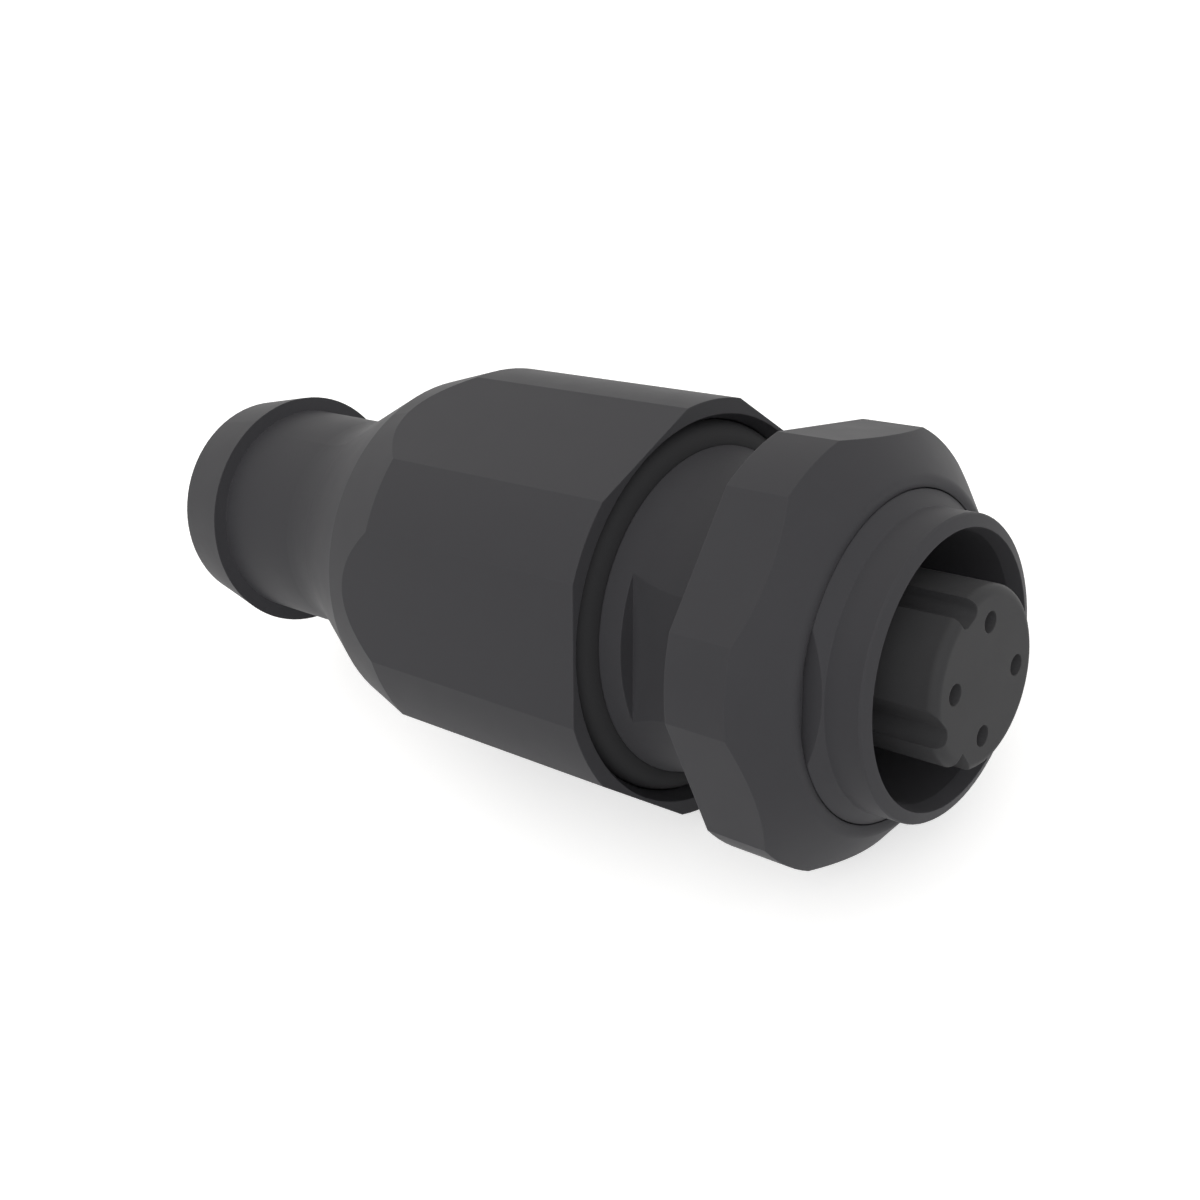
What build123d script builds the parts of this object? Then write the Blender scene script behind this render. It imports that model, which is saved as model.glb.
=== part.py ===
"""Female cable connector: round, four socket contacts, spring-loaded release ring.

Millimetres. X is the connector's axis and points to the mating side, and +Z is up, with
one flat of the backshell facing down. The origin is on the axis, where the nose's outer
cylinder ends and its bevelled rim starts, so most stations are negative. Angles are about
X, from +Y towards +Z. Radii build up from the contacts outwards, so a change inside moves
what lies round it.
"""
import os
from math import cos, hypot, pi, radians, sin

from build123d import *

os.makedirs("parts", exist_ok=True)

# Fits between pieces
running_gap = 0.05
seat_gap = 0.02
soft_gap = 0.3

# Contacts: four sockets on a circle
contact_count = 4
contact_start_angle = 60.0
contact_circle_r = 2.5
contact_hole_r = 0.475
contact_bore_gap = 0.025
contact_wall = 0.35
contact_bore_length = 6.0
contact_mouth_chamfer = 0.12
contact_slot_width = 0.25
contact_slot_length = 4.5
contact_collar_height = 0.3
contact_collar_length = 0.8
contact_tail_step = 0.05
cup_rise = 0.2
cup_wall = 0.28
cup_length = 3.6
cup_depth = 2.9
cup_open_length = 1.7

# Contact insert with its three keyways, its carrier and its retainer
insert_wall = 0.65
insert_reach = 1.75
insert_edge_r = 0.45
insert_face_wall = 1.3
keyway_length = 9.0
keyway_depth = 0.8
keyway_width = 1.2
keyway_corner_r = 0.38
keyway_angle = 89.0
slant_keyway_depth = 0.71
slant_keyway_width = 1.0
slant_keyway_reach = 1.26
slant_keyway_lean = 70.0
slant_keyway_angle = 175.8
vee_keyway_depth = 0.77
vee_keyway_angle = 211.0
vee_start_angle = 206.5
vee_end_angle = 232.0
snap_ridge_height = 0.2
snap_ridge_half_length = 0.35
snap_ridge_inset = 1.5
carrier_cup_length = 3.0
carrier_length = 3.4
insert_retainer_length = 1.4
insert_retainer_wall = 1.25
insert_retainer_slot = 0.9

# Front sleeve: cavity, nose, barrel, neck flare, seal seat and thread
shroud_room = 1.95
cavity_depth = 8.2
mouth_taper = 0.2
mouth_depth = 0.5
rim_wall = 0.58
rim_rise = 0.2
rim_chamfer = 0.06
nose_length = 1.7
nose_step = 0.65
lead_length = 0.65
barrel_length = 6.87
sleeve_flat_depth = 0.6
sleeve_flat_length = 10.05
sleeve_flat_angle = 150.0
flare_length = 3.6
shoulder_rise = 0.47
partition_wall = 1.2
thread_rise = 0.1
thread_length = 7.13
thread_pitch = 1.0
thread_depth = 0.4
thread_lead = 0.5

# Seals: the one that shows behind the shoulder, and two inside
shell_seal_section_r = 1.0
shell_seal_groove_depth = 0.92
shell_seal_end_gap = 0.13
insert_seal_section_r = 0.55
face_seal_thickness = 0.8

# Release ring, its spring and its clips
ring_start = 2.25
ring_mouth_length = 0.1
ring_nose_wall = 0.6
ring_nose_length = 0.15
ring_cone_length = 1.75
ring_corner_rise = 0.54
ring_wall = 0.55
ring_rear_lip = 0.58
ring_land_length = 1.1
ring_lug_length = 0.8
ring_turn = 27.0
ring_travel = 2.2
spring_room = 1.12
spring_strip = 0.22
spring_waves = 4
washer_thickness = 0.3
clip_opening = 40.0
clip_gap = 0.16
circlip_thickness = 0.4
circlip_groove_depth = 0.35
circlip_height = 0.7
retainer_thickness = 0.4
retainer_groove_depth = 0.4

# Backshell: recess, hexagonal grip, cone, tail, neck and tapered lip
recess_lead = 0.32
recess_lead_length = 0.8
recess_wall = 0.18
grip_corner_rise = 0.55
grip_turn = 0.0
grip_length = 13.65
cone_length = 3.51
cone_drop = 0.95
tail_cone_length = 5.24
tail_slope = 0.5
tail_arc_length = 2.46
neck_length = 5.64
neck_wall = 1.65
lip_length = 3.85
lip_height = 0.79
lip_taper = 0.7
lip_edge_r = 0.15
undercut_depth = 0.3
thread_runout = 0.6
cage_seat_step = 0.9
cage_seat_lead = 0.3
cage_seat_length = 7.0
cable_bore_r = 4.25
outlet_edge_r = 0.6

# Cable clamp set inside the backshell
spacer_wall = 1.4
spacer_length = 2.6
cable_seal_bore_r = 3.0
cable_seal_length = 3.2
thrust_ring_length = 0.7
cage_length = 6.0
cage_band = 1.6
cage_bore_gap = 0.15
cage_grip_height = 1.0
cage_grip_length = 2.6
cage_slots = 6
cage_slot_width = 0.8
cage_tooth = 0.25
cage_teeth = 3

# Radii of contacts and insert
contact_bore_r = contact_hole_r + contact_bore_gap
contact_barrel_r = contact_bore_r + contact_wall
contact_collar_r = contact_barrel_r + contact_collar_height
contact_tail_r = contact_barrel_r - contact_tail_step
cup_r = contact_tail_r + cup_rise
cup_bore_r = cup_r - cup_wall
insert_r = contact_circle_r + contact_barrel_r + insert_wall
snap_ridge_r = insert_r + snap_ridge_height
keyway_floor_r = insert_r - keyway_depth
slant_keyway_floor_r = insert_r - slant_keyway_depth
vee_keyway_floor_r = insert_r - vee_keyway_depth

# Radii of the sleeve
cavity_r = insert_r + shroud_room
rear_bore_r = cavity_r + running_gap
carrier_r = rear_bore_r - running_gap
mouth_r = cavity_r + mouth_taper
nose_r = mouth_r + rim_wall
barrel_r = nose_r + nose_step
sleeve_flat_half = barrel_r - sleeve_flat_depth
shoulder_r = barrel_r + shoulder_rise
thread_r = shoulder_r + thread_rise
shell_seal_groove_r = shoulder_r - shell_seal_groove_depth
shell_seal_mid_r = shell_seal_groove_r + seat_gap + shell_seal_section_r

# Radii of the release ring and its clips
land_r = barrel_r + running_gap
land_flat_half = sleeve_flat_half + running_gap
ring_nose_r = land_r + ring_nose_wall
ring_pocket_r = land_r + spring_room
ring_flat_half = ring_pocket_r + retainer_groove_depth + ring_wall
ring_corner_r = ring_flat_half + ring_corner_rise
circlip_inner_r = barrel_r - circlip_groove_depth + seat_gap
circlip_outer_r = circlip_inner_r + circlip_height
retainer_inner_r = circlip_outer_r + clip_gap
retainer_outer_r = ring_pocket_r + retainer_groove_depth - seat_gap

# Radii of the backshell and the clamp set; both hexagons take a 19 mm spanner
seal_bore_r = shell_seal_mid_r + shell_seal_section_r + running_gap
recess_r = seal_bore_r + recess_lead
grip_flat_half = recess_r + recess_wall
grip_corner_r = grip_flat_half + grip_corner_rise
cone_rear_r = grip_corner_r - cone_drop
neck_r = cable_bore_r + neck_wall
tail_arc_r = cone_rear_r - tail_slope * tail_cone_length
lip_r = neck_r + lip_height
lip_rear_r = lip_r - lip_taper
backshell_thread_r = thread_r + running_gap
undercut_r = backshell_thread_r + undercut_depth
cage_seat_r = undercut_r - cage_seat_step
spacer_r = backshell_thread_r - soft_gap
cable_seal_r = backshell_thread_r - soft_gap
thrust_ring_r = cage_seat_r - soft_gap
cage_bore_r = cable_bore_r + cage_bore_gap
cage_grip_r = cage_bore_r - cage_grip_height

# Stations of the sleeve, from the nose's rim backwards
cone_x = -nose_length
barrel_x = cone_x - lead_length
flare_x = barrel_x - barrel_length
flat_end_x = cone_x - sleeve_flat_length
shoulder_x = flare_x - flare_length
shell_seal_x = shoulder_x - shell_seal_section_r
thread_x = shell_seal_x - shell_seal_section_r - running_gap
sleeve_end_x = thread_x - thread_length
floor_x = -cavity_depth
partition_x = floor_x - partition_wall

# Stations of the insert and the contacts
insert_seal_x = partition_x - insert_seal_section_r - seat_gap
carrier_x = insert_seal_x - insert_seal_section_r - seat_gap
insert_end_x = carrier_x - carrier_cup_length
snap_ridge_x = carrier_x - snap_ridge_inset
carrier_end_x = insert_end_x - carrier_length
insert_retainer_x = carrier_end_x - insert_retainer_length
contact_front_x = insert_reach - insert_face_wall - seat_gap
cup_front_x = carrier_end_x - seat_gap
cup_end_x = cup_front_x - cup_length

# Stations of the release ring and its spring
ring_front_x = -ring_start
ring_nose_x = ring_front_x - ring_nose_length
ring_cone_x = ring_nose_x - ring_cone_length
land_front_x = ring_front_x - ring_mouth_length
land_rear_x = land_front_x - ring_land_length
spring_height = ring_travel + spring_strip + 2 * running_gap
washer_x = land_rear_x - spring_height
circlip_x = washer_x - washer_thickness
retainer_rear_x = circlip_x - retainer_thickness
ring_rear_x = retainer_rear_x - ring_rear_lip

# Stations of the backshell and the clamp set
grip_x = shoulder_x + seat_gap
seal_bore_x = grip_x - recess_lead_length
recess_x = shell_seal_x - shell_seal_section_r - shell_seal_end_gap
undercut_x = sleeve_end_x - thread_runout
spacer_end_x = sleeve_end_x - spacer_length
seal_end_x = spacer_end_x - cable_seal_length
thrust_end_x = seal_end_x - thrust_ring_length
cage_end_x = thrust_end_x - cage_length
cage_seat_x = thrust_end_x + cage_seat_lead
cable_bore_x = cage_seat_x - cage_seat_length
grip_rear_x = grip_x - grip_length
cone_rear_x = grip_rear_x - cone_length
tail_arc_x = cone_rear_x - tail_cone_length
neck_x = tail_arc_x - tail_arc_length
lip_front_x = neck_x - neck_length
lip_rear_x = lip_front_x - lip_length

# A cut of this size passes right through the connector's section
cutter_size = 3 * grip_corner_r


# A ring of rectangular section, closed, or open by an angle as a snap ring is
def flat_ring(front_x, rear_x, outer_r, inner_r, opening=0.0):
    with BuildPart() as ring:
        with BuildSketch(Plane.YZ.offset(rear_x)):
            Circle(outer_r)
            Circle(inner_r, mode=Mode.SUBTRACT)
            if opening:
                half = radians(opening / 2)
                with BuildLine():
                    Polyline(
                        (0, 0),
                        (cutter_size * cos(half), -cutter_size * sin(half)),
                        (cutter_size * cos(half), cutter_size * sin(half)),
                        close=True,
                    )
                make_face(mode=Mode.SUBTRACT)
        extrude(amount=front_x - rear_x)
    return ring


# A round-section seal ring
def seal_ring(station_x, mid_r, section_r):
    with BuildPart() as ring:
        with BuildSketch(Plane.XZ):
            with Locations((station_x, mid_r)):
                Circle(section_r)
        revolve(axis=Axis.X)
    return ring


# Front sleeve: one moulding from the nose's rim to the threaded rear end
thread_points = []
thread_turns = int((thread_length - thread_lead) / thread_pitch)
for turn in range(thread_turns):
    crest_x = sleeve_end_x + thread_lead + (turn + 0.5) * thread_pitch
    thread_points.append((crest_x - thread_depth, thread_r))
    thread_points.append((crest_x, thread_r - thread_depth))
    thread_points.append((crest_x + thread_depth, thread_r))

# The part of the rim's bevel that the chamfer at its outer edge takes
rim_share = rim_chamfer / hypot(rim_rise, rim_wall)

with BuildPart() as front_sleeve:
    with BuildSketch(Plane.XZ):
        with BuildLine():
            Polyline(
                (flare_x, barrel_r),
                (barrel_x, barrel_r),
                (cone_x, nose_r),
                (-rim_chamfer, nose_r),
                (rim_share * rim_rise, nose_r - rim_share * rim_wall),
                (rim_rise, mouth_r),
                (-mouth_depth, cavity_r),
                (floor_x, cavity_r),
                (floor_x, insert_r + running_gap),
                (partition_x, insert_r + running_gap),
                (partition_x, rear_bore_r),
                (sleeve_end_x, rear_bore_r),
                (sleeve_end_x, thread_r - thread_lead),
                (sleeve_end_x + thread_lead, thread_r),
                *thread_points,
                (thread_x, thread_r),
                (thread_x, shell_seal_groove_r),
                (shoulder_x, shell_seal_groove_r),
                (shoulder_x, shoulder_r),
            )
            TangentArc((flare_x, barrel_r), (shoulder_x, shoulder_r), tangent=(-1, 0))
        make_face()
    revolve(axis=Axis.X)
    # Two flats along the barrel, from the lead cone to a wall near the shoulder
    with BuildSketch(Plane.YZ.rotated((sleeve_flat_angle, 0, 0)).offset(flat_end_x)):
        Rectangle(cutter_size, cutter_size)
        Rectangle(2 * sleeve_flat_half, cutter_size, mode=Mode.SUBTRACT)
    extrude(amount=sleeve_flat_length, mode=Mode.SUBTRACT)
    # Groove for the circlip
    with BuildSketch(Plane.YZ.offset(circlip_x - circlip_thickness)):
        Circle(shoulder_r)
        Circle(barrel_r - circlip_groove_depth, mode=Mode.SUBTRACT)
    extrude(amount=circlip_thickness, mode=Mode.SUBTRACT)

front_sleeve.part.label = "front_sleeve"
export_step(front_sleeve.part, "parts/front_sleeve.step")

# Seal ring on the sleeve, seen in the backshell's recess
shell_seal = seal_ring(shell_seal_x, shell_seal_mid_r, shell_seal_section_r)
shell_seal.part.label = "shell_seal"
export_step(shell_seal.part, "parts/shell_seal.step")

# Contact insert: plug with three keyways, and a ridge that snaps into the carrier
with BuildPart() as contact_insert:
    with BuildSketch(Plane.XZ):
        with BuildLine():
            Polyline(
                (insert_reach - insert_edge_r, insert_r),
                (snap_ridge_x + snap_ridge_half_length, insert_r),
                (snap_ridge_x, snap_ridge_r),
                (snap_ridge_x - snap_ridge_half_length, insert_r),
                (insert_end_x, insert_r),
                (insert_end_x, 0),
                (insert_reach, 0),
                (insert_reach, insert_r - insert_edge_r),
            )
            RadiusArc(
                (insert_reach, insert_r - insert_edge_r),
                (insert_reach - insert_edge_r, insert_r),
                -insert_edge_r,
            )
        make_face()
    revolve(axis=Axis.X)
    keyway_rear_x = insert_reach - keyway_length
    # A square keyway with rounded corners
    with BuildSketch(Plane.YZ.rotated((keyway_angle, 0, 0)).offset(keyway_rear_x)):
        with Locations((keyway_floor_r + insert_r / 2, 0)):
            RectangleRounded(insert_r, keyway_width, keyway_corner_r)
    extrude(amount=keyway_length, mode=Mode.SUBTRACT)
    # A round keyway that leans to one side
    slant_root = Vector(slant_keyway_floor_r + slant_keyway_width / 2, 0)
    slant_run = Vector(slant_keyway_reach, 0).rotate(Axis.Z, -slant_keyway_lean)
    with BuildSketch(Plane.YZ.rotated((slant_keyway_angle, 0, 0)).offset(keyway_rear_x)):
        SlotCenterPoint(slant_root + slant_run / 2, slant_root, slant_keyway_width)
    extrude(amount=keyway_length, mode=Mode.SUBTRACT)
    # A leaning vee, whose flanks run past the insert's side
    vee_apex = Vector(
        vee_keyway_floor_r * cos(radians(vee_keyway_angle)),
        vee_keyway_floor_r * sin(radians(vee_keyway_angle)),
    )
    vee_outer = []
    for angle in (vee_start_angle, vee_end_angle):
        on_side = Vector(insert_r * cos(radians(angle)), insert_r * sin(radians(angle)))
        vee_outer.append(vee_apex + (on_side - vee_apex) * 2)
    with BuildSketch(Plane.YZ.offset(keyway_rear_x)):
        with BuildLine():
            Polyline(vee_apex, *vee_outer, close=True)
        make_face()
    extrude(amount=keyway_length, mode=Mode.SUBTRACT)
    # Contact chambers: a small hole in the face, a long chamber, a recess for the collar
    for chamber_r, chamber_length in (
        (contact_hole_r, insert_reach - insert_end_x),
        (contact_barrel_r + seat_gap, insert_reach - insert_face_wall - insert_end_x),
        (contact_collar_r + seat_gap, contact_collar_length + seat_gap),
    ):
        with BuildSketch(Plane.YZ.offset(insert_end_x)):
            with PolarLocations(contact_circle_r, contact_count, contact_start_angle):
                Circle(chamber_r)
        extrude(amount=chamber_length, mode=Mode.SUBTRACT)

contact_insert.part.label = "contact_insert"
export_step(contact_insert.part, "parts/contact_insert.step")


# Socket contact: slotted barrel, collar, tail and solder cup, turned from one rod
def socket_contact(angle):
    collar_front_x = insert_end_x + contact_collar_length
    with BuildPart() as contact:
        with BuildSketch(Plane.XZ):
            with BuildLine():
                Polyline(
                    (contact_front_x, contact_bore_r + contact_mouth_chamfer),
                    (contact_front_x, contact_barrel_r),
                    (collar_front_x, contact_barrel_r),
                    (collar_front_x, contact_collar_r),
                    (insert_end_x, contact_collar_r),
                    (insert_end_x, contact_tail_r),
                    (cup_front_x, contact_tail_r),
                    (cup_front_x, cup_r),
                    (cup_end_x, cup_r),
                    (cup_end_x, cup_bore_r),
                    (cup_end_x + cup_depth, cup_bore_r),
                    (cup_end_x + cup_depth, 0),
                    (contact_front_x - contact_bore_length, 0),
                    (contact_front_x - contact_bore_length, contact_bore_r),
                    (contact_front_x - contact_mouth_chamfer, contact_bore_r),
                    close=True,
                )
            make_face()
        revolve(axis=Axis.X)
        # The slot that lets the barrel spring open
        with BuildSketch(Plane.YZ.offset(contact_front_x - contact_slot_length)):
            Rectangle(contact_slot_width, cutter_size)
        extrude(amount=contact_slot_length, mode=Mode.SUBTRACT)
        # The open side of the solder cup
        with BuildSketch(Plane.YZ.offset(cup_end_x)):
            with Locations((cup_r, 0)):
                Rectangle(2 * cup_r, cutter_size)
        extrude(amount=cup_open_length, mode=Mode.SUBTRACT)
    return Rot(angle, 0, 0) * Pos(0, contact_circle_r, 0) * contact.part


for number in range(contact_count):
    socket = socket_contact(contact_start_angle + number * 360 / contact_count)
    socket.label = f"socket_contact_{number + 1}"
    export_step(socket, f"parts/{socket.label}.step")

# Carrier: a cup that grips the insert's rear end and closes the contact chambers
with BuildPart() as contact_carrier:
    with BuildSketch(Plane.XZ):
        with BuildLine():
            Polyline(
                (carrier_x, carrier_r),
                (carrier_x, insert_r + running_gap),
                (snap_ridge_x + snap_ridge_half_length, insert_r + running_gap),
                (snap_ridge_x, snap_ridge_r + running_gap),
                (snap_ridge_x - snap_ridge_half_length, insert_r + running_gap),
                (insert_end_x, insert_r + running_gap),
                (insert_end_x, 0),
                (carrier_end_x, 0),
                (carrier_end_x, carrier_r),
                close=True,
            )
        make_face()
    revolve(axis=Axis.X)
    with BuildSketch(Plane.YZ.offset(carrier_end_x)):
        with PolarLocations(contact_circle_r, contact_count, contact_start_angle):
            Circle(contact_tail_r + seat_gap)
    extrude(amount=carrier_length, mode=Mode.SUBTRACT)

contact_carrier.part.label = "contact_carrier"
export_step(contact_carrier.part, "parts/contact_carrier.step")

# Slotted ring that holds insert and carrier in the sleeve
with BuildPart() as insert_retainer:
    with BuildSketch(Plane.YZ.offset(insert_retainer_x)):
        Circle(carrier_r)
        Circle(carrier_r - insert_retainer_wall, mode=Mode.SUBTRACT)
    extrude(amount=insert_retainer_length)
    with BuildSketch(Plane.YZ.offset(insert_retainer_x)):
        Rectangle(cutter_size, insert_retainer_slot)
    extrude(amount=insert_retainer_length / 2, mode=Mode.SUBTRACT)

insert_retainer.part.label = "insert_retainer"
export_step(insert_retainer.part, "parts/insert_retainer.step")

# Seal between insert and sleeve, and the flat seal on the cavity's floor
insert_seal = seal_ring(
    insert_seal_x, insert_r + seat_gap + insert_seal_section_r, insert_seal_section_r
)
insert_seal.part.label = "insert_seal"
export_step(insert_seal.part, "parts/insert_seal.step")

face_seal = flat_ring(
    floor_x + face_seal_thickness, floor_x, cavity_r - seat_gap, insert_r + running_gap
)
face_seal.part.label = "face_seal"
export_step(face_seal.part, "parts/face_seal.step")

# Release ring: coned hexagon with a guide land and a pocket for the spring
with BuildPart() as release_ring:
    with BuildSketch(Plane.XZ):
        with BuildLine():
            Polyline(
                (ring_nose_x, ring_nose_r),
                (ring_cone_x, ring_corner_r),
                (ring_rear_x, ring_corner_r),
                (ring_rear_x, ring_pocket_r),
                (land_rear_x, ring_pocket_r),
                (land_rear_x, land_r),
                (land_front_x, land_r),
            )
            TangentArc(
                (ring_nose_x, ring_nose_r),
                (land_front_x, land_r),
                tangent=(ring_cone_length, ring_nose_r - ring_corner_r),
            )
        make_face()
    revolve(axis=Axis.X)
    with BuildSketch(Plane.YZ.offset(ring_rear_x)):
        RegularPolygon(ring_flat_half, 6, major_radius=False, rotation=ring_turn)
    extrude(amount=ring_front_x - ring_rear_x, mode=Mode.INTERSECT)
    # Two lugs that run on the sleeve's flats and stop the ring from turning
    with BuildSketch(Plane.YZ.rotated((sleeve_flat_angle, 0, 0)).offset(land_rear_x)):
        Circle((land_r + ring_pocket_r) / 2)
        Rectangle(2 * land_flat_half, cutter_size, mode=Mode.SUBTRACT)
    extrude(amount=ring_lug_length)
    # Groove for the retainer
    with BuildSketch(Plane.YZ.offset(retainer_rear_x)):
        Circle(ring_pocket_r + retainer_groove_depth)
    extrude(amount=retainer_thickness, mode=Mode.SUBTRACT)

release_ring.part.label = "release_ring"
export_step(release_ring.part, "parts/release_ring.step")

# Wave spring: one flat strip bent into four waves
spring_r = (land_r + ring_pocket_r) / 2
spring_width = spring_room - 4 * running_gap
spring_amplitude = (spring_height - spring_strip) / 2 - running_gap
spring_mid_x = land_rear_x - spring_height / 2
steps_per_wave = 8
step_count = spring_waves * steps_per_wave
wave_points = []
for step in range(step_count):
    turn = 2 * pi * step / step_count
    wave_points.append((turn, spring_amplitude * cos(spring_waves * turn)))


def wave_edge(radius):
    rear_x = spring_mid_x - spring_strip / 2
    points = [
        Vector(rear_x + rise, radius * cos(turn), radius * sin(turn))
        for turn, rise in wave_points
    ]
    return Edge.make_spline(points, periodic=True)


with BuildPart() as wave_spring:
    strip = Face.make_surface_from_curves(
        wave_edge(spring_r - spring_width / 2), wave_edge(spring_r + spring_width / 2)
    )
    extrude(strip, amount=spring_strip, dir=(1, 0, 0))

wave_spring.part.label = "wave_spring"
export_step(wave_spring.part, "parts/wave_spring.step")

# Washer and circlip that the spring stands on, and the clip in the ring's rear
seat_washer = flat_ring(washer_x, circlip_x, ring_pocket_r - 2 * running_gap, land_r)
seat_washer.part.label = "seat_washer"
export_step(seat_washer.part, "parts/seat_washer.step")

sleeve_circlip = flat_ring(
    circlip_x - seat_gap,
    circlip_x - circlip_thickness + seat_gap,
    circlip_outer_r,
    circlip_inner_r,
    clip_opening,
)
sleeve_circlip.part.label = "sleeve_circlip"
export_step(sleeve_circlip.part, "parts/sleeve_circlip.step")

ring_retainer = flat_ring(
    circlip_x - seat_gap,
    retainer_rear_x + seat_gap,
    retainer_outer_r,
    retainer_inner_r,
    clip_opening,
)
ring_retainer.part.label = "ring_retainer"
export_step(ring_retainer.part, "parts/ring_retainer.step")

# Backshell: hexagonal grip, cone, tail, neck and tapered lip in one moulding
with BuildPart() as backshell:
    with BuildSketch(Plane.XZ):
        with BuildLine():
            TangentArc((tail_arc_x, tail_arc_r), (neck_x, neck_r), tangent=(-1, -tail_slope))
            Polyline(
                (tail_arc_x, tail_arc_r),
                (cone_rear_x, cone_rear_r),
                (grip_rear_x, grip_corner_r),
                (grip_x, grip_corner_r),
                (grip_x, recess_r),
                (seal_bore_x, seal_bore_r),
                (recess_x, seal_bore_r),
                (recess_x, backshell_thread_r),
                (undercut_x, backshell_thread_r),
                (undercut_x - undercut_depth, undercut_r),
                (cage_seat_x, undercut_r),
                (cage_seat_x, cage_seat_r),
                (cable_bore_x, cable_bore_r),
                (lip_rear_x + outlet_edge_r, cable_bore_r),
            )
            RadiusArc(
                (lip_rear_x + outlet_edge_r, cable_bore_r),
                (lip_rear_x, cable_bore_r + outlet_edge_r),
                outlet_edge_r,
            )
            Polyline(
                (lip_rear_x, cable_bore_r + outlet_edge_r),
                (lip_rear_x, lip_rear_r - lip_edge_r),
            )
            lip_edge = RadiusArc(
                (lip_rear_x, lip_rear_r - lip_edge_r),
                (lip_rear_x + lip_edge_r, lip_rear_r),
                lip_edge_r,
            )
            Polyline(
                lip_edge @ 1,
                (lip_front_x, lip_r),
                (lip_front_x, neck_r),
                (neck_x, neck_r),
            )
        make_face()
    revolve(axis=Axis.X)
    with BuildSketch(Plane.YZ.offset(lip_rear_x)):
        RegularPolygon(grip_flat_half, 6, major_radius=False, rotation=grip_turn)
    extrude(amount=grip_x - lip_rear_x, mode=Mode.INTERSECT)

backshell.part.label = "backshell"
export_step(backshell.part, "parts/backshell.step")

# Spacer tube that carries the sleeve's push to the cable seal
spacer_tube = flat_ring(sleeve_end_x, spacer_end_x, spacer_r, spacer_r - spacer_wall)
spacer_tube.part.label = "spacer_tube"
export_step(spacer_tube.part, "parts/spacer_tube.step")

# Rubber cable seal
cable_seal = flat_ring(spacer_end_x, seal_end_x, cable_seal_r, cable_seal_bore_r)
cable_seal.part.label = "cable_seal"
export_step(cable_seal.part, "parts/cable_seal.step")

# Hard ring between seal and cage
thrust_ring = flat_ring(seal_end_x, thrust_end_x, thrust_ring_r, cage_bore_r)
thrust_ring.part.label = "thrust_ring"
export_step(thrust_ring.part, "parts/thrust_ring.step")

# Clamp cage: slotted cone whose fingers the backshell closes on the cable
cage_slope = (cage_seat_r - cable_bore_r) / cage_seat_length


def cage_outer_r(station_x):
    seat_r = cage_seat_r + cage_slope * (station_x - cage_seat_x)
    return seat_r - 2 * running_gap


grip_front_x = cage_end_x + cage_grip_length
tooth_pitch = cage_grip_length / cage_teeth
tooth_points = []
for tooth in range(cage_teeth):
    tooth_x = cage_end_x + tooth * tooth_pitch
    tooth_points.append((tooth_x, cage_grip_r + cage_tooth))
    tooth_points.append((tooth_x + tooth_pitch, cage_grip_r))

with BuildPart() as clamp_cage:
    with BuildSketch(Plane.XZ):
        with BuildLine():
            Polyline(
                (thrust_end_x, cage_outer_r(thrust_end_x)),
                (cage_end_x, cage_outer_r(cage_end_x)),
                *tooth_points,
                (grip_front_x + cage_grip_height, cage_bore_r),
                (thrust_end_x, cage_bore_r),
                close=True,
            )
        make_face()
    revolve(axis=Axis.X)
    with BuildSketch(Plane.YZ.offset(cage_end_x)):
        with PolarLocations(0, cage_slots):
            with Locations((cutter_size / 2, 0)):
                Rectangle(cutter_size, cage_slot_width)
    extrude(amount=cage_length - cage_band, mode=Mode.SUBTRACT)

clamp_cage.part.label = "clamp_cage"
export_step(clamp_cage.part, "parts/clamp_cage.step")
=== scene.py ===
import math

import bpy
from mathutils import Matrix, Vector


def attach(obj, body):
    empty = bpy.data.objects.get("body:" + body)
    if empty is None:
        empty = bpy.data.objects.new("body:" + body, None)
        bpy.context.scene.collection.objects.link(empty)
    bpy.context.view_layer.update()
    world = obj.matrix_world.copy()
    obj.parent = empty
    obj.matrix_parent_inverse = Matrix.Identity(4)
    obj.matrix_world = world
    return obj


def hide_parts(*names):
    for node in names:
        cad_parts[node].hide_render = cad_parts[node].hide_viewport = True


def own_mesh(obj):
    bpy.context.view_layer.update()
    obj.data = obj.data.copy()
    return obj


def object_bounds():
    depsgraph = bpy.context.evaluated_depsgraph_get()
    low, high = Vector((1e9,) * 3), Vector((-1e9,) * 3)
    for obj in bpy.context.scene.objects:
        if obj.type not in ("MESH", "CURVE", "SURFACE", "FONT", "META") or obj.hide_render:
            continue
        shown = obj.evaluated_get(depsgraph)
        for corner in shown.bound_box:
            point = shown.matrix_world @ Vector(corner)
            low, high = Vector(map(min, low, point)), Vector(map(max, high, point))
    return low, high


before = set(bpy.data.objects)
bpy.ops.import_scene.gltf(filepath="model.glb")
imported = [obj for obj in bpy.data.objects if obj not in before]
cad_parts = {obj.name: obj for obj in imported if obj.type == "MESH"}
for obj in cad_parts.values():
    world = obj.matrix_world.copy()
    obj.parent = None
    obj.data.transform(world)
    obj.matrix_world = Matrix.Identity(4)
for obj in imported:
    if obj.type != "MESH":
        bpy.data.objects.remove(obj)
cad_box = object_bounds()

# Viewing point. The camera stands about 70 mm off the nose, ahead of it, above it and on
# the -Y side of the axis, and looks back along the body towards the cable outlet.
MM = 0.001
view_place = Vector((31.96, -38.16, 47.69)) * MM
view_right = Vector((0.73945, 0.58227, -0.33789))
view_up = Vector((-0.19272, 0.66400, 0.72247))
view_back = view_right.cross(view_up)
view_turn = Matrix((view_right, view_up, view_back)).transposed()

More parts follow.
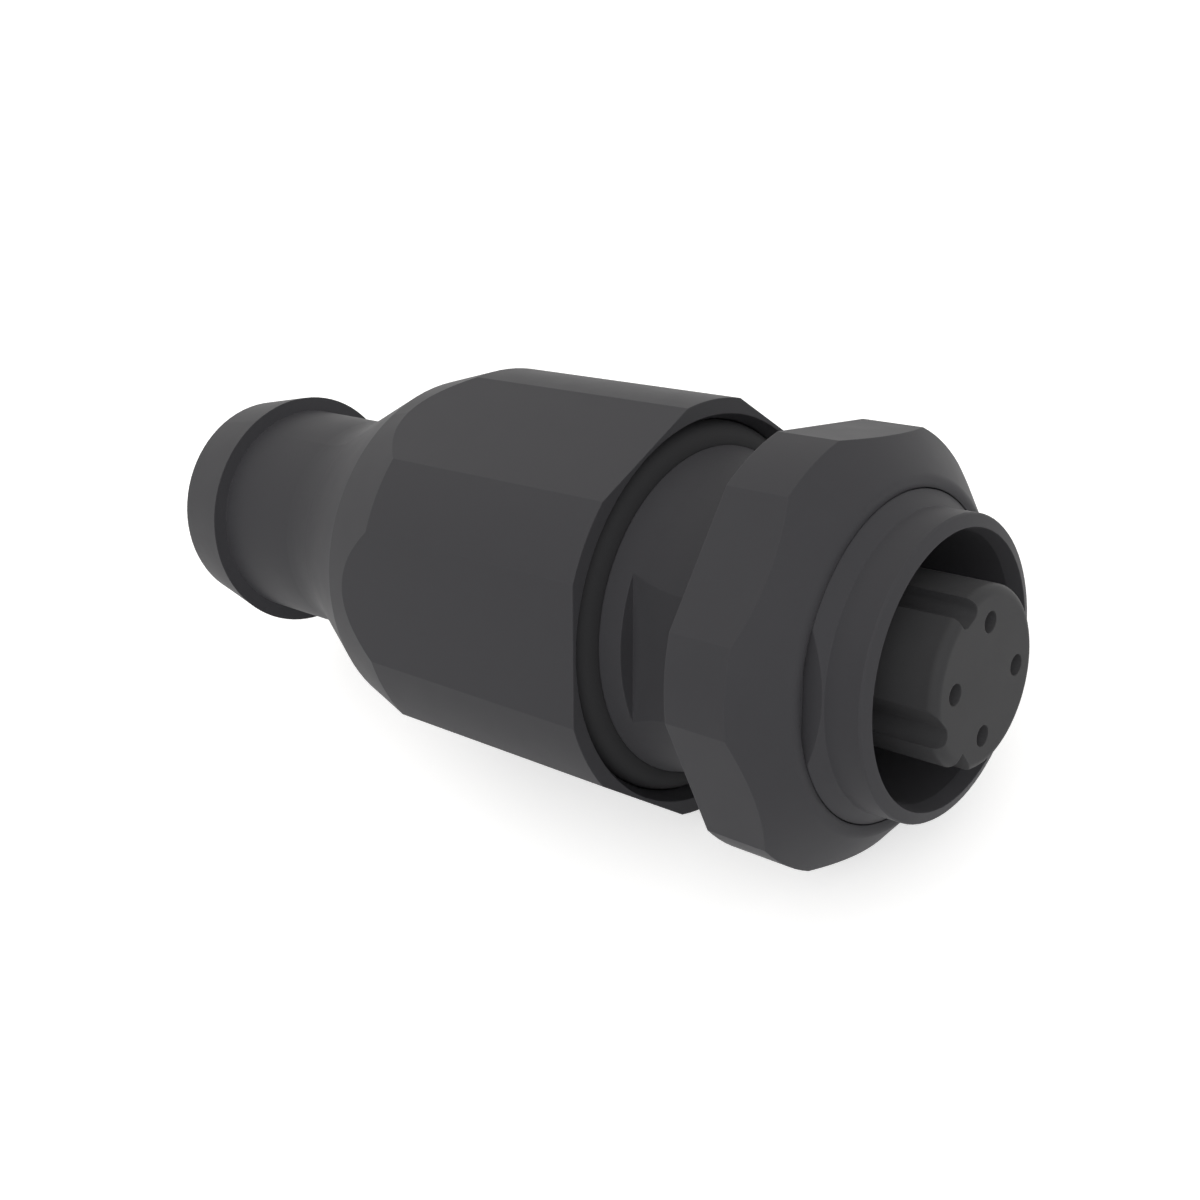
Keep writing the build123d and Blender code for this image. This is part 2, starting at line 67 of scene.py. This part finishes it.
camera_data = bpy.data.cameras.new("camera")
camera_data.lens = 47.94
camera_data.clip_start = 1 * MM
camera_data.clip_end = 10
camera = bpy.data.objects.new("camera", camera_data)
bpy.context.scene.collection.objects.link(camera)
bpy.context.scene.camera = camera
camera.matrix_world = Matrix.Translation(view_place) @ view_turn.to_4x4()


# Front sleeve: the connector's main tube, from the nose to the thread that the backshell
# screws on. It is one injection moulding in dark grey glass-filled plastic, with the
# finely eroded skin of its mould and edges that handling has rubbed a little paler.
class Value:
    """A shader output. Arithmetic on it adds Math nodes."""

    def __init__(self, finish, socket):
        self.finish = finish
        self.socket = socket

    def math(self, operation, first, second):
        return self.finish.node("Math", {"operation": operation}, {0: first, 1: second})

    def __add__(self, other):
        return self.math("ADD", self, other)

    def __mul__(self, other):
        return self.math("MULTIPLY", self, other)

    def __rsub__(self, other):
        return self.math("SUBTRACT", other, self)

    __radd__ = __add__
    __rmul__ = __mul__


class Finish:
    """The nodes of a material or a world, built up on its one shader."""

    # The Mix node has sockets of its own for each kind of value. These are its colour ones.
    MIX_SHARE, MIX_FIRST, MIX_SECOND, MIX_RESULT = 0, 6, 7, 2

    def __init__(self, owner, shader, sockets):
        owner.use_nodes = True
        self.owner = owner
        self.tree = owner.node_tree
        self.shader = self.tree.nodes[shader]
        self.fill(self.shader, sockets)

    def fill(self, node, sockets):
        for name, value in sockets.items():
            if isinstance(value, Value):
                self.tree.links.new(value.socket, node.inputs[name])
            else:
                node.inputs[name].default_value = value

    def node(self, kind, settings, sockets, output=0):
        made = self.tree.nodes.new("ShaderNode" + kind)
        for name, setting in settings.items():
            setattr(made, name, setting)
        self.fill(made, sockets)
        return Value(self, made.outputs[output])

    def cloud(self, size, stretch=(1, 1, 1)):
        """Noise with grains of this size, longer along an axis with a stretch below 1."""
        place = self.node("TexCoord", {}, {}, "Object")
        spread = self.node("Mapping", {}, {"Vector": place, "Scale": stretch})
        grains = {"Vector": spread, "Scale": 1 / size, "Detail": 2.0, "Roughness": 0.5}
        return self.node("TexNoise", {}, grains, "Fac")

    def blend(self, share, first, second):
        """The first colour where share is 0, the second where it is 1."""
        colours = {self.MIX_SHARE: share, self.MIX_FIRST: first, self.MIX_SECOND: second}
        return self.node("Mix", {"data_type": "RGBA"}, colours, self.MIX_RESULT)

    def bumps(self, height, depth, strength, **sockets):
        """The normal of a surface with marks of this depth on it."""
        marks = {"Height": height, "Distance": depth, "Strength": strength}
        return self.node("Bump", {}, {**marks, **sockets})

    def rounded(self, radius):
        """The normal that the surface would have with its edges rounded."""
        return self.node("Bevel", {"samples": 6}, {"Radius": radius})

    def rubbed(self, radius, strength):
        """1 on edges and near 0 on flats."""
        sharp = self.node("NewGeometry", {}, {}, "Normal")
        normals = {0: self.rounded(radius), 1: sharp}
        along = self.node("VectorMath", {"operation": "DOT_PRODUCT"}, normals, "Value")
        worn = strength * (1 - along)
        return self.node("Math", {"operation": "MINIMUM"}, {0: worn, 1: 1.0})

    def looked_at(self):
        """1 where the camera, a gloss or a clear surface looks, and 0 for plain light."""
        camera = self.node("LightPath", {}, {}, "Is Camera Ray")
        glossy = self.node("LightPath", {}, {}, "Is Glossy Ray")
        clear = self.node("LightPath", {}, {}, "Is Transmission Ray")
        return camera + glossy + clear

    def cover(self, *names):
        """Puts this material on CAD nodes."""
        for name in names:
            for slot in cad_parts[name].material_slots:
                slot.material = self.owner


def surface(name, sockets):
    return Finish(bpy.data.materials.new(name), "Principled BSDF", sockets)


def grey(level, tint=(1, 1, 1)):
    return (level * tint[0], level * tint[1], level * tint[2], 1)


def moulded(name, level, roughness, grain, tint=(1, 1, 1), shelter_painted_light=1.7):
    """A finely pitted moulded surface. Its tone drifts a little, and is paler on rubbed
    edges. In sheltered places it is painted paler by a given factor, as painted fill light."""
    gloss = 0.12
    dark, pale, rubbed_pale = 0.93, 1.07, 1.25
    drift_size, speck_size = 1.6 * MM, 0.12 * MM
    drift_part, speck_part = 0.7, 0.3
    shelter_reach = 2.5 * MM
    edge_width, edge_contrast = 0.12 * MM, 6.0
    least_wear, speck_wear = 0.4, 0.9
    duller = 0.1
    pit_depth, pit_strength = 0.004 * MM, 0.25
    edge_radius = 0.07 * MM

    moulding = surface(name, {"Specular IOR Level": gloss})
    drift = moulding.cloud(drift_size)
    speck = moulding.cloud(speck_size)
    mottle = drift_part * drift + speck_part * speck
    tone = moulding.blend(mottle, grey(level * dark, tint), grey(level * pale, tint))

    # Painted fill light: where near walls shelter the surface, its colour is made paler,
    # standing in for light that lifts the shade in recesses.
    reach = {"Distance": shelter_reach}
    open_sky = moulding.node("AmbientOcclusion", {"samples": 4}, reach, "AO")
    tone = moulding.blend(1 - open_sky, tone, grey(level * shelter_painted_light, tint))

    worn = moulding.rubbed(edge_width, edge_contrast) * (least_wear + speck_wear * speck)
    tone = moulding.blend(worn, tone, grey(level * rubbed_pale, tint))

    soft_edges = moulding.rounded(edge_radius)
    pits = moulding.bumps(moulding.cloud(grain), pit_depth, pit_strength, Normal=soft_edges)
    skin = {"Base Color": tone, "Roughness": roughness + duller * drift, "Normal": pits}
    moulding.fill(moulding.shader, skin)
    return moulding


shell_plastic = moulded(
    "shell_plastic", level=0.0465, roughness=0.5, grain=0.08 * MM, tint=(1, 0.99, 1.08)
)
shell_plastic.cover("front_sleeve")

# Contact insert: the insulator that holds the contacts, pushed into the sleeve from
# behind. It is moulded in a finer, duller plastic, and its keyways and holes are cored.
insert_plastic = moulded(
    "insert_plastic",
    level=0.0395,
    roughness=0.5,
    grain=0.06 * MM,
    tint=(1, 1, 1.05),
    shelter_painted_light=2.0,
)
insert_plastic.cover("contact_insert")

# Contact carrier: the cup that snaps over the insert's rear end and shuts the contacts
# in. It is moulded in the insert's own plastic.
insert_plastic.cover("contact_carrier")

# Socket contacts: each is turned from brass rod, slotted so that it grips its pin, and
# plated with a thin layer of gold. The turning tool has left fine rings on it.
gold = surface("contact_plating", {"Metallic": 1.0})
tool_feed, tool_depth, tool_strength = 0.05 * MM, 0.004 * MM, 0.3
ring_stretch = (1, 0.05, 0.05)
patch_size = 0.6 * MM
pale_gold, deep_gold = (0.86, 0.64, 0.27, 1), (0.78, 0.56, 0.22, 1)
gold_roughness, gold_dulling = 0.24, 0.14
rings = gold.cloud(tool_feed, ring_stretch)
gold_skin = {
    "Base Color": gold.blend(gold.cloud(patch_size), pale_gold, deep_gold),
    "Roughness": gold_roughness + gold_dulling * rings,
    "Normal": gold.bumps(rings, tool_depth, tool_strength),
}
gold.fill(gold.shader, gold_skin)
gold.cover("socket_contact_1", "socket_contact_2", "socket_contact_3", "socket_contact_4")

# Insert retainer: the slotted ring that is pressed in behind the carrier. It is moulded
# in the plain matt plastic of the cable clamp's parts.
clamp_plastic = moulded("clamp_plastic", level=0.044, roughness=0.45, grain=0.09 * MM)
clamp_plastic.cover("insert_retainer")

# Shell seal: the round ring in the backshell's front recess. It is moulded in soft dark
# rubber with a dull skin, and stretched over the sleeve behind its shoulder.
rubber = moulded(
    "seal_rubber", level=0.03, roughness=0.68, grain=0.05 * MM, tint=(1, 1, 1.06), shelter_painted_light=1.4
)
rubber.cover("shell_seal")

# Insert seal: a small round ring of the same rubber. It is slipped over the insert from
# behind, and the carrier presses it against the back of the cavity's floor.
rubber.cover("insert_seal")

# Face seal: a flat ring of the same rubber on the floor of the mating cavity, where the
# rim of the counterpart's shroud presses on it.
rubber.cover("face_seal")

# Release ring: the coned hexagon that is drawn back against its spring to unlatch. It is
# moulded in the sleeve's plastic, and slides on the barrel, whose flats guide its lugs.
shell_plastic.cover("release_ring")

# Wave spring: a strip of spring steel bent into four waves, with an oiled grey surface. It
# pushes the release ring forward; on the real part it flattens on its washer as the ring is
# drawn back, but the copy made here is not made to flatten.
steel = surface("spring_steel", {"Metallic": 1.0})
roll_size = 0.08 * MM
dark_steel, pale_steel = grey(0.36), grey(0.46)
steel_roughness, steel_dulling = 0.3, 0.16
rolled = steel.cloud(roll_size)
steel_skin = {
    "Base Color": steel.blend(rolled, dark_steel, pale_steel),
    "Roughness": steel_roughness + steel_dulling * rolled,
}
steel.fill(steel.shader, steel_skin)
steel.cover("wave_spring")

merge_distance = 0.001 * MM
sharpest_smooth = math.radians(30)
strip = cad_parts["wave_spring"].data.copy()
spring = bpy.data.objects.new("wave_spring_strip", strip)
bpy.context.scene.collection.objects.link(spring)
bpy.ops.object.select_all(action="DESELECT")
spring.select_set(True)
bpy.context.view_layer.objects.active = spring
bpy.ops.object.mode_set(mode="EDIT")
bpy.ops.mesh.select_all(action="SELECT")
bpy.ops.mesh.remove_doubles(threshold=merge_distance)
bpy.ops.object.mode_set(mode="OBJECT")
bpy.ops.object.shade_smooth_by_angle(angle=sharpest_smooth)
spring.select_set(False)
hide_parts("wave_spring")
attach(spring, "front")
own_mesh(spring)

# Seat washer: the flat ring that the spring stands on, blanked from the same steel. The
# circlip holds it on the sleeve from behind.
steel.cover("seat_washer")

# Sleeve circlip: an open ring, blanked from the same steel and sprung into a groove in the
# sleeve behind the washer.
steel.cover("sleeve_circlip")

# Ring retainer: an open ring, blanked from the same steel and sprung into a groove in the
# release ring. It comes up against the washer, and so keeps the ring on the sleeve.
steel.cover("ring_retainer")

# Backshell: the hexagonal grip that runs out through a cone into the neck for the boot.
# It is moulded in the sleeve's plastic, and screws on from behind.
shell_plastic.cover("backshell")

# Spacer tube: passes the sleeve's push on to the cable seal. It is moulded in the clamp's
# plain matt plastic, and lies loose in the backshell.
clamp_plastic.cover("spacer_tube")

# Cable seal: the thick ring that is squeezed against the cable between the spacer and the
# thrust ring. It is moulded in the same rubber as the other seals.
rubber.cover("cable_seal")

# Thrust ring: the hard ring that keeps the cable seal out of the cage's slots. It is
# moulded in the clamp's plastic.
clamp_plastic.cover("thrust_ring")

# Clamp cage: the slotted cone whose toothed fingers the backshell closes on the cable. It
# is moulded in the clamp's plastic, and drops into the backshell from the front.
clamp_plastic.cover("clamp_cage")

# Floor: a sheet of pale paper under the connector, 4 m wide. A little white is added where
# the camera, a gloss or a clear surface looks at it, so that it runs out into white.
floor_width = 4
paper_level, added_white = 0.8, 0.55
bpy.ops.mesh.primitive_plane_add(size=floor_width, location=(0, 0, cad_box[0].z))
floor = bpy.context.object
floor.name = "floor"
paper = surface(
    "floor_paper",
    {
        "Base Color": grey(paper_level),
        "Roughness": 0.9,
        "Specular IOR Level": 0,
        "Emission Color": grey(1),
    },
)
paper.fill(paper.shader, {"Emission Strength": added_white * paper.looked_at()})
floor.data.materials.append(paper.owner)

# Studio light: a white dome, a soft lamp beside the camera and one overhead, and two low
# ones, behind the connector and on its +Y side. All but the first lamp are a little warm.
world = bpy.data.worlds.new("studio")
bpy.context.scene.world = world
dome = Finish(world, "Background", {"Color": grey(1)})
dome_level = 0.58
dome.fill(dome.shader, {"Strength": dome_level + (1 - dome_level) * dome.looked_at()})


def soft_lamp(name, towards, energy, spread, colour):
    """A lamp far off in one direction, that looks spread degrees wide from here."""
    turned = Vector(towards).to_track_quat("Z", "Y").to_euler()
    bpy.ops.object.light_add(type="SUN", rotation=turned)
    lamp = bpy.context.object
    lamp.name = name
    lamp.data.energy = energy
    lamp.data.angle = math.radians(spread)
    lamp.data.color = colour


soft_lamp("camera_lamp", (0.65, -0.47, 0.6), energy=0.66, spread=60, colour=(1, 1, 1))
soft_lamp("overhead_lamp", (0, 0, 1), energy=0.6, spread=90, colour=(1, 0.97, 0.92))
soft_lamp("rear_lamp", (-1, 0, 0.35), energy=0.42, spread=90, colour=(1, 0.97, 0.88))
soft_lamp("right_lamp", (0, 1, 0.35), energy=0.3, spread=90, colour=(1, 0.95, 0.8))

bpy.context.scene.view_settings.view_transform = "Standard"
